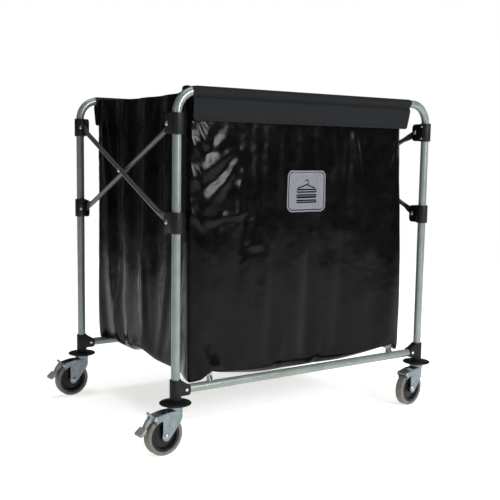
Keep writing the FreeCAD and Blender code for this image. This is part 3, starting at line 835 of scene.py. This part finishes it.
@dataclass
class LinenBag:
    """The hung cloth bag: walls and a two-part floor that the stays carry."""

    space: BagSpace
    pitch: float = 12 * MM
    top_waist: float = 22 * MM
    end_sag: float = 5 * MM
    front_climb: float = 10 * MM
    tucked: float = 22 * MM
    sewn_from: tuple[float, float] = (12 * MM, 45 * MM)
    corner_flare: float = 27 * MM
    rear_flare: float = 7 * MM
    cloth: float = 0.8 * MM
    slack: float = 0.010
    pressed_again: float = 0.22
    settle_frames: int = 26
    longest_settle: float = 26 * MM
    front_creases: list[Crease | PulledFolds] = field(default_factory=lambda: [
        PulledFolds((0.145, 0.765), math.radians(221), math.radians(56), 2.2, 5 * MM, 0.03, 0.27),
        PulledFolds((0.06, 0.83), math.radians(215), math.radians(40), 1.0, 4 * MM, 0.02, 0.12),
        Crease((-0.02, 0.595), (0.01, 0.565), 6 * MM, 4 * MM),
        Crease((0.02, 0.568), (0.16, 0.594), 6 * MM, 4.5 * MM),
        Crease((0.16, 0.77), (0.163, 0.60), 6 * MM, 4 * MM),
        Crease((0.14, 0.50), (0.19, 0.505), 6 * MM, 3 * MM),
        Crease((0.205, 0.80), (0.215, 0.28), 6 * MM, 2.5 * MM),
        Crease((0.26, 0.80), (0.25, 0.25), 9 * MM, 2.2 * MM),
        Crease((0.37, 0.80), (0.385, 0.22), 10 * MM, 2.2 * MM),
        Crease((0.48, 0.81), (0.53, 0.66), 8 * MM, 4 * MM),
        Crease((0.52, 0.80), (0.57, 0.70), 6 * MM, 3 * MM),
        Crease((0.60, 0.78), (0.66, 0.72), 6 * MM, 3.5 * MM),
        Crease((0.62, 0.75), (0.66, 0.70), 6 * MM, 3 * MM),
        Crease((0.49, 0.79), (0.50, 0.24), 10 * MM, 2.2 * MM),
    ])
    end_creases: list[Crease] = field(default_factory=lambda: [
        Crease((0.04, 0.86), (0.08, 0.55), 8 * MM, 5 * MM),
        Crease((0.09, 0.88), (0.15, 0.60), 8 * MM, 5 * MM),
        Crease((0.15, 0.88), (0.20, 0.66), 9 * MM, 4 * MM),
        Crease((0.22, 0.88), (0.28, 0.70), 9 * MM, 4 * MM),
        Crease((0.31, 0.88), (0.37, 0.62), 10 * MM, 4 * MM),
        Crease((0.42, 0.88), (0.45, 0.70), 9 * MM, 3.5 * MM),
        Crease((0.53, 0.87), (0.49, 0.66), 9 * MM, 4 * MM),
        Crease((0.57, 0.84), (0.50, 0.52), 10 * MM, 4 * MM),
        Crease((0.03, 0.42), (0.16, 0.22), 10 * MM, 5 * MM),
        Crease((0.14, 0.50), (0.20, 0.24), 11 * MM, 4 * MM),
        Crease((0.30, 0.48), (0.28, 0.22), 12 * MM, 4 * MM),
        Crease((0.44, 0.46), (0.50, 0.21), 12 * MM, 4 * MM),
    ])

    def build(self, finishes: Finishes) -> bpy.types.Object:
        """Make the walls and the two floor halves.

        Args:
            finishes: The trolley's finishes.

        Returns:
            The walls.
        """
        whole = self.cut_and_sew()
        self.settle(whole)
        self.press_creases(whole, self.pressed_again)
        smooth = whole.modifiers.new("smooth", "SUBSURF")
        smooth.levels = 1
        apply_modifiers(whole)
        self.press_fine_creases(whole)
        walls = self.split(whole, 0, "bag_walls", finishes.bag)
        floors = {End.FRONT: self.split(whole, 1, "bag_floor_front", finishes.bag),
                  End.REAR: self.split(whole, 2, "bag_floor_rear", finishes.bag)}
        bpy.data.objects.remove(whole)
        self.hang(walls, floors)
        return walls

    # -- shape before it hangs

    def cut_and_sew(self) -> bpy.types.Object:
        """Sew the panels into one open-topped bag.

        Returns:
            The bag, with its walls on material index 0 and its floor halves on 1 and 2.
        """
        s = self.space
        wide = round((s.right - s.left) / self.pitch)
        deep = 2 * round((s.rear - s.front) / self.pitch / 2)
        tall = round((s.bar_z + 0.012 - s.low) / self.pitch)
        ring = [(i, 0) for i in range(wide)] + [(wide, j) for j in range(deep)]
        ring += [(i, deep) for i in range(wide, 0, -1)] + [(0, j) for j in range(deep, 0, -1)]
        number = {}
        points = []
        for j in range(deep + 1):
            for i in range(wide + 1):
                number[i, j] = len(points)
                points.append(self.floor_point(i / wide, j / deep))
        faces = []
        half = []
        for j in range(deep):
            for i in range(wide):
                faces.append((number[i, j + 1], number[i + 1, j + 1], number[i + 1, j], number[i, j]))
                half.append(1 if j < deep / 2 else 2)
        below = [number[p] for p in ring]
        for row in range(1, tall + 1):
            above = []
            for i, j in ring:
                above.append(len(points))
                points.append(self.wall_point(i / wide, j / deep, row / tall))
            for n in range(len(ring)):
                m = (n + 1) % len(ring)
                faces.append((below[n], below[m], above[m], above[n]))
                half.append(0)
            below = above
        whole = mesh_from("bag_whole", points, faces)
        whole.data.polygons.foreach_set("material_index", half)
        for name in ("walls", "front_floor", "rear_floor"):
            whole.data.materials.append(bpy.data.materials.new("cut_" + name))
        self.press_creases(whole, 1.0)
        return whole

    def floor_point(self, u: float, v: float) -> Vector:
        """Point of the floor at a share of its width and depth."""
        s = self.space
        x = s.left + u * (s.right - s.left)
        x -= self.corner_flare * (1 - u) ** 3 * (1 - float(smooth_step(v, 0.0, 0.2)))
        x -= self.rear_flare * (1 - u) ** 3 * float(smooth_step(v, 0.9, 1.0))
        y = s.front + v * (s.rear - s.front)
        left_stay, right_stay = s.stay_x
        beyond = max(0.0, left_stay - x, x - right_stay)
        between = max(0.0, min(x - left_stay, right_stay - x))
        edge = 1 - min(v, 1 - v) * 2
        droop = 10 * MM * smooth_step(beyond, 0.0, 0.03) + 4 * MM * smooth_step(between, 0.0, 0.15)
        droop += 5 * MM * smooth_step(beyond, 0.0, 0.04) * edge ** 4
        droop *= smooth_step(abs(v - 0.5), 0.0, 0.12)
        return Vector((x, y, s.low + 1 * MM - droop))

    def wall_point(self, u: float, v: float, t: float) -> Vector:
        """Point of the walls at a share of the plan's width, its depth and the height."""
        s = self.space
        foot = self.floor_point(u, v)
        end_share = min(1.0, min(v, 1 - v) * 12)
        top = s.bar_z + 3 * MM - self.end_sag * math.sin(math.pi * v) ** 0.7 * end_share
        top += self.front_climb * (1 - float(smooth_step(v, 0.0, 0.2)))
        # clear of the corners, the long walls end where they are sewn into the sleeves
        from_corner = min(u, 1 - u) * (s.right - s.left)
        sewn = float(smooth_step(from_corner, *self.sewn_from)) if v in (0.0, 1.0) else 0.0
        top += sewn * (s.hem_low + self.tucked - top)
        z = foot.z + t * (top - foot.z)
        waist = smooth_step(z, 0.35, 0.8)
        x = foot.x - u * self.top_waist * waist + (1 - u) * 3 * MM * waist
        lean = smooth_step(z, s.hem_low - 4 * MM, s.bar_z - 12 * MM) * s.inset * (1 - sewn)
        middle = (s.front + s.rear) / 2
        squeeze = (abs(s.bar_y) - lean) / abs(s.bar_y)
        y = middle + (foot.y - middle) * (squeeze if z > s.hem_low else 1.0)
        return Vector((x, y, z))

    def press_creases(self, whole: bpy.types.Object, share: float) -> None:
        """Press the broad folds into the walls.

        Args:
            whole: The bag.
            share: How much of their height to press.
        """
        s = self.space
        count = len(whole.data.vertices)
        at = np.empty(count * 3)
        whole.data.vertices.foreach_get("co", at)
        at = at.reshape(-1, 3)
        up = at[:, 2]
        free = smooth_step(s.hem_low - up, -0.005, 0.04)
        wall_front = (np.abs(at[:, 1] - s.front) < 24 * MM) & (up > s.low + 0.03) & across_in(at, s)
        across = at[:, 0] - s.left
        lift = sum(c.lift(across, up) for c in self.front_creases)
        at[:, 1] -= np.where(wall_front, share * lift * free, 0.0)
        depth = s.rear - s.front
        clear = np.clip(np.minimum(at[:, 1] - s.front, s.rear - at[:, 1]) / 0.03, 0.0, 1.0)
        for edge_x, sign in ((s.left, -1.0), (s.right, 1.0)):
            near = np.abs(at[:, 0] - edge_x) < self.top_waist + 6 * MM
            on_end = near & (up > s.low + 2 * MM) & (clear > 0)
            across = at[:, 1] - s.front
            lift = sum(c.lift(across, up) for c in self.end_creases)
            billow = 3.5 * MM * np.sin(across / depth * math.tau * 4.5 + 0.6) * smooth_step(up, 0.25, 0.6)
            billow += 4 * MM * np.sin(across / depth * math.pi) * (1 - smooth_step(up, 0.2, 0.5))
            at[:, 0] += np.where(on_end, share * sign * (lift + billow) * clear, 0.0)
        rear = (np.abs(at[:, 1] - s.rear) < 2 * MM) & (up > s.low)
        drift = 3 * MM * np.sin((at[:, 0] - s.left) * 31.0 + 2.0 * np.sin(up * 9.0))
        at[:, 1] += np.where(rear, share * drift * free, 0.0)
        whole.data.vertices.foreach_set("co", at.reshape(-1))
        whole.data.update()

    # -- hanging

    def settle(self, whole: bpy.types.Object) -> None:
        """Hang the bag by its top with a cloth simulation and keep the result.

        Args:
            whole: The sewn bag.
        """
        s = self.space
        held = whole.vertex_groups.new(name="held")
        start = [v.co.copy() for v in whole.data.vertices]
        for v in whole.data.vertices:
            on_long_side = min(abs(v.co.y - s.front), abs(v.co.y - s.rear)) < 0.03
            in_sleeve = v.co.z > s.hem_low - 4 * MM and on_long_side
            on_rim = v.co.z > s.bar_z - self.end_sag + 1 * MM
            on_stay = v.co.z < s.low + 3 * MM and min(abs(v.co.x - x) for x in s.stay_x) < 0.8 * self.pitch
            on_seam = v.co.z < s.low + 3 * MM and abs(v.co.y) < 0.5 * self.pitch
            if in_sleeve or on_rim or on_stay or on_seam:
                held.add([v.index], 1.0, "REPLACE")
        cloth = whole.modifiers.new("hang", "CLOTH")
        settings = cloth.settings
        settings.vertex_group_mass = "held"
        settings.quality = 5
        settings.mass = 0.12
        settings.tension_stiffness = 25.0
        settings.compression_stiffness = 22.0
        settings.shear_stiffness = 12.0
        settings.bending_stiffness = 1.2
        settings.air_damping = 4.0
        settings.shrink_min = -self.slack
        cloth.collision_settings.use_collision = False
        cloth.collision_settings.use_self_collision = False
        cloth.point_cache.frame_end = self.settle_frames + 2
        scene = bpy.context.scene
        for number in range(1, self.settle_frames + 1):
            scene.frame_set(number)
        hung = whole.evaluated_get(bpy.context.evaluated_depsgraph_get()).data
        finish = [v.co.copy() for v in hung.vertices]
        whole.modifiers.clear()
        scene.frame_set(1)
        most = 0.0
        for v, first, last in zip(whole.data.vertices, start, finish):
            step = last - first
            most = max(most, step.length)
            if step.length > self.longest_settle:
                step *= self.longest_settle / step.length
            v.co = first + step
        log.info("bag: settled, longest move %.1f mm", most / MM)

    def press_fine_creases(self, whole: bpy.types.Object) -> None:
        """Press the small crumples of coated cloth, along each point's normal."""
        s = self.space
        count = len(whole.data.vertices)
        at, normal = np.empty(count * 3), np.empty(count * 3)
        whole.data.vertices.foreach_get("co", at)
        whole.data.vertices.foreach_get("normal", normal)
        at, normal = at.reshape(-1, 3), normal.reshape(-1, 3)
        shift = Vector((3.1, 0.0, 7.7))
        broad = np.array([noise.noise(Vector(p) * 14.0) for p in at]) * 1.1 * MM
        fine = np.array([0.5 - abs(noise.noise(Vector(p) * 42.0 + shift)) for p in at])
        rise = at[:, 2] - s.low
        corner = smooth_step(rise, 0.25, 0.6) * (1 - smooth_step(at[:, 0] - s.left, 0.12, 0.3))
        lift = (broad + fine * (0.4 * MM + 1.7 * MM * corner)) * smooth_step(rise, -0.01, 0.03)
        at += normal * lift[:, None]
        whole.data.vertices.foreach_set("co", at.reshape(-1))
        whole.data.update()

    # -- pieces

    def split(self, whole: bpy.types.Object, index: int, name: str,
              material: bpy.types.Material) -> bpy.types.Object:
        """Cut one part out of the hung bag and give the cloth its thickness.

        Args:
            whole: The hung bag.
            index: Material index of the part's faces.
            name: The piece's name.
            material: The piece's finish.

        Returns:
            The piece.
        """
        form = bmesh.new()
        form.from_mesh(whole.data)
        others = [f for f in form.faces if f.material_index != index]
        bmesh.ops.delete(form, geom=others, context="FACES")
        mesh = bpy.data.meshes.new(name)
        form.to_mesh(mesh)
        form.free()
        piece = add_object(name, mesh)
        skin = piece.modifiers.new("thickness", "SOLIDIFY")
        skin.thickness = self.cloth
        skin.offset = -1.0
        apply_modifiers(piece)
        dress(piece, material)
        shade(piece, 70.0)
        return piece

    def hang(self, walls: bpy.types.Object, floors: dict[End, bpy.types.Object]) -> None:
        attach(walls, "front_frame")
        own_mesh(walls)
        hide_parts("bag_front_panel", "bag_rear_panel", "bag_left_panel", "bag_right_panel")
        for end, floor in floors.items():
            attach(floor, f"{end.word}_stays")
        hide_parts("bag_bottom_panel")
        log.info("bag: %d wall faces", len(walls.data.polygons))


def across_in(at: np.ndarray, space: BagSpace) -> np.ndarray:
    """Which points lie clear of the bag's two ends."""
    return (at[:, 0] > space.left - 22 * MM) & (at[:, 0] < space.right - 26 * MM)


@dataclass
class HemSleeve:
    """Doubled cloth sleeve round a top bar, with its stitching."""

    space: BagSpace
    end: End
    left_top: tuple[float, float] = (-0.372, -0.364)
    left_low: tuple[float, float] = (-0.367, -0.360)
    right_top: float = 0.343
    right_low: float = 0.333
    step: float = 9 * MM
    cloth: float = 1.0 * MM
    stitch_pitch: float = 6 * MM
    stitch_out: float = 7.4 * MM
    stitch_rise: float = 26 * MM
    bend_from: float = 0.355
    bend_radius: float = 0.055

    def profile(self) -> list[tuple[float, float]]:
        """Closed loop round the bar, as distance outward from the bar's plane and height.

        Returns:
            Points from the seam up the outer face, over the bar and down the inner face.
        """
        s = self.space
        r = s.bar_r + 1.6 * MM
        low = s.hem_low
        rise = s.bar_z - low
        face = ((4.0, 0), (6.0, 1.5), (6.2, 5), (4.4, 8), (5.4, 12), (7.2, 24),
                (8.6, 38), (9.6, 48), (9.4, 54), (7.6, 58), (5.0, 60.5))
        outer = [(out * MM, low + up * MM) for out, up in face]
        cap = [(r * math.cos(a), s.bar_z + r * math.sin(a))
               for a in (math.radians(degrees) for degrees in range(-46, 181, 14))]
        inner = [(-r + (r - 1.0 * MM) * smooth_step(k / 7, 0.1, 1.1), s.bar_z - (rise - 8 * MM) * k / 7)
                 for k in range(1, 8)]
        return outer + cap + inner + [(0.2 * MM, low + 2 * MM)]

    def edge(self, z: float, left: bool) -> float:
        """Where the sleeve ends at a height."""
        s = self.space
        t = float(np.clip((z - s.hem_low) / (s.bar_z + s.bar_r - s.hem_low), 0, 1))
        which = 0 if self.end is End.FRONT else 1
        low, top = (self.left_low[which], self.left_top[which]) if left else (self.right_low, self.right_top)
        corner = 5 * MM * (1 - float(smooth_step(z - s.hem_low, 0.0, 8 * MM))) ** 2
        x = low + (top - low) * t
        return x + corner if left else x - corner

    def build(self, finishes: Finishes) -> bpy.types.Object:
        """Make the sleeve and its stitching.

        Args:
            finishes: The trolley's finishes.

        Returns:
            The sleeve.
        """
        s = self.space
        loop = self.profile()
        width = self.right_top - self.left_top[0]
        count = round(width / self.step)
        sign = self.end.value
        points, faces = [], []
        for n in range(count + 1):
            for out, z in loop:
                left, right = self.edge(z, True), self.edge(z, False)
                x = LEGS_CENTRE + left + (right - left) * n / count
                points.append(self.settle_point(x, out, z, sign))
        size = len(loop)
        for n in range(count):
            for k in range(size):
                a, b = n * size + k, n * size + (k + 1) % size
                ring = (a, b, b + size, a + size)
                faces.append(ring if sign > 0 else ring[::-1])
        name = f"{self.end.word}_hem"
        sleeve = mesh_from(name, points, faces)
        skin = sleeve.modifiers.new("thickness", "SOLIDIFY")
        skin.thickness = self.cloth
        skin.offset = -1.0
        soft = sleeve.modifiers.new("smooth", "SUBSURF")
        soft.levels = 2
        apply_modifiers(sleeve)
        dress(sleeve, finishes.hem)
        shade(sleeve, 60.0)
        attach(sleeve, f"{self.end.word}_frame")
        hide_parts(f"{self.end.word}_hem_sleeve")
        stitches = self.stitch(finishes.thread, sign)
        log.info("%s hem: %d faces", self.end.word, len(sleeve.data.polygons))
        return sleeve

    def settle_point(self, x: float, out: float, z: float, sign: int) -> Vector:
        """Place one point of the sleeve, with the cloth's slight unevenness."""
        s = self.space
        below = 1 - float(smooth_step(z, s.bar_z - 12 * MM, s.bar_z + 2 * MM))
        seed = Vector((x * 9.0, z * 16.0, 4.0 * sign))
        ripple = noise.noise(seed) * 2.2 * MM * below
        pucker = 0.5 * MM * math.sin(x * 210.0) * below * (1 - float(smooth_step(z - s.hem_low, 0.0, 0.02)))
        loose = 1.5 * MM * max(0.0, noise.noise(Vector((x * 22.0, z * 60.0, 9.0))))
        uneven = ripple + pucker + loose if out > 0 else 0.0
        past = max(0.0, abs(x - LEGS_CENTRE) - self.bend_from)
        drop = self.bend_radius - math.sqrt(max(0.0, self.bend_radius ** 2 - past ** 2))
        return Vector((x, sign * (abs(s.bar_y) + out + uneven), z - drop))

    def stitch(self, material: bpy.types.Material, sign: int) -> bpy.types.Object:
        """Sew the row of stitches along the sleeve's lower edge."""
        s = self.space
        z = s.hem_low + self.stitch_rise
        left = LEGS_CENTRE + self.edge(z, True) + 6 * MM
        right = LEGS_CENTRE + self.edge(z, False) - 6 * MM
        points, faces = [], []
        half, fat = 2.0 * MM, 0.45 * MM
        for n in range(int((right - left) / self.stitch_pitch)):
            middle = self.settle_point(left + (n + 0.5) * self.stitch_pitch, self.stitch_out, z, sign)
            first = len(points)
            for dx, r in ((-half, 0.3), (-half * 0.5, 1.0), (half * 0.5, 1.0), (half, 0.3)):
                for k in range(6):
                    a = math.tau * k / 6
                    points.append(middle + Vector((dx, fat * r * math.cos(a), fat * r * math.sin(a))))
            for ring in range(3):
                for k in range(6):
                    a, b = first + ring * 6 + k, first + ring * 6 + (k + 1) % 6
                    faces.append((a, b, b + 6, a + 6))
            faces.append(tuple(first + k for k in range(5, -1, -1)))
            faces.append(tuple(first + 18 + k for k in range(6)))
        seam = mesh_from(f"{self.end.word}_hem_stitches", points, faces)
        dress(seam, material)
        shade(seam, 60.0)
        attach(seam, f"{self.end.word}_frame")
        return seam


@dataclass
class PrintedBadge:
    """Generic badge printed on the front wall: a hanger over folded linen in a rounded frame."""

    centre: tuple[float, float] = (-0.0165, 0.640)
    half: float = 64 * MM
    tall: float = 55 * MM
    corner: float = 18 * MM
    line: float = 3 * MM
    cell: float = 1.3 * MM
    proud: float = 0.35 * MM

    def inked(self, x: float, z: float) -> bool:
        """Whether the print covers a point measured from the badge's centre."""
        rim = self.outside(x, z, self.half, self.corner, self.tall)
        if rim > 0 or -2.2 * self.line < rim < -1.4 * self.line:
            return False
        reach = 34 * MM
        for low in (-32 * MM, -18 * MM, -4 * MM):
            middle = low + 5 * MM
            if self.outside(x, z - middle, reach, 5 * MM, 5 * MM) <= 0:
                return self.outside(x + 3 * MM, z - middle, reach, 1 * MM, 1 * MM) <= 0
        hook = math.hypot(x, z - 24 * MM)
        if 4.5 * MM < hook < 7.5 * MM and (z > 24 * MM or x > 0):
            return False
        slope = 17 * MM - 0.3 * abs(x)
        return not (abs(x) < 30 * MM and abs(z - slope) < 1.8 * MM)

    @staticmethod
    def outside(x: float, z: float, half: float, corner: float, tall: float) -> float:
        """Distance outside a round-cornered rectangle, negative inside it."""
        qx, qz = abs(x) - (half - corner), abs(z) - (tall - corner)
        return math.hypot(max(qx, 0.0), max(qz, 0.0)) + min(max(qx, qz), 0.0) - corner

    def build(self, walls: bpy.types.Object, space: BagSpace, finishes: Finishes) -> bpy.types.Object:
        """Lay the print on the hung cloth.

        Args:
            walls: The bag's walls.
            space: The bag's space, for where its front wall stands.
            finishes: The trolley's finishes.

        Returns:
            The print.
        """
        tree = BVHTree.FromObject(walls, bpy.context.evaluated_depsgraph_get())
        across = LEGS_CENTRE + self.centre[0]
        wide, high = int(2 * self.half / self.cell), int(2 * self.tall / self.cell)
        number, points, faces = {}, [], []

        def corner(i: int, k: int) -> int:
            if (i, k) not in number:
                x = across - self.half + i * self.cell
                z = self.centre[1] - self.tall + k * self.cell
                hit, *_ = tree.ray_cast(Vector((x, space.front - 0.2, z)), Vector((0, 1, 0)))
                number[i, k] = len(points)
                points.append(hit + Vector((0, -self.proud, 0)))
            return number[i, k]

        for i in range(wide):
            for k in range(high):
                x, z = -self.half + (i + 0.5) * self.cell, -self.tall + (k + 0.5) * self.cell
                if self.inked(x, z):
                    faces.append((corner(i, k), corner(i + 1, k), corner(i + 1, k + 1), corner(i, k + 1)))
        badge = mesh_from("bag_printed_badge", points, faces)
        dress(badge, finishes.ink)
        shade(badge, 60.0)
        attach(badge, "front_frame")
        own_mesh(badge)
        log.info("badge: %d faces", len(badge.data.polygons))
        return badge


# ------------------------------------------------------------------ trolley


def main() -> None:
    """Build the studio and the trolley, in order, and report each piece."""
    logging.basicConfig(level=logging.INFO, format="%(name)s: %(message)s")
    finishes = Finishes()
    Studio().build(finishes)
    FoldingFrame().build(finishes)
    for corner, braked in (("front_left", True), ("front_right", False),
                           ("rear_left", True), ("rear_right", False)):
        Castor(corner, braked).build(finishes)
    space = BagSpace.from_frame()
    walls = LinenBag(space).build(finishes)
    for end in End:
        HemSleeve(space, end).build(finishes)
    PrintedBadge().build(walls, space, finishes)


if __name__ == "__main__":
    main()
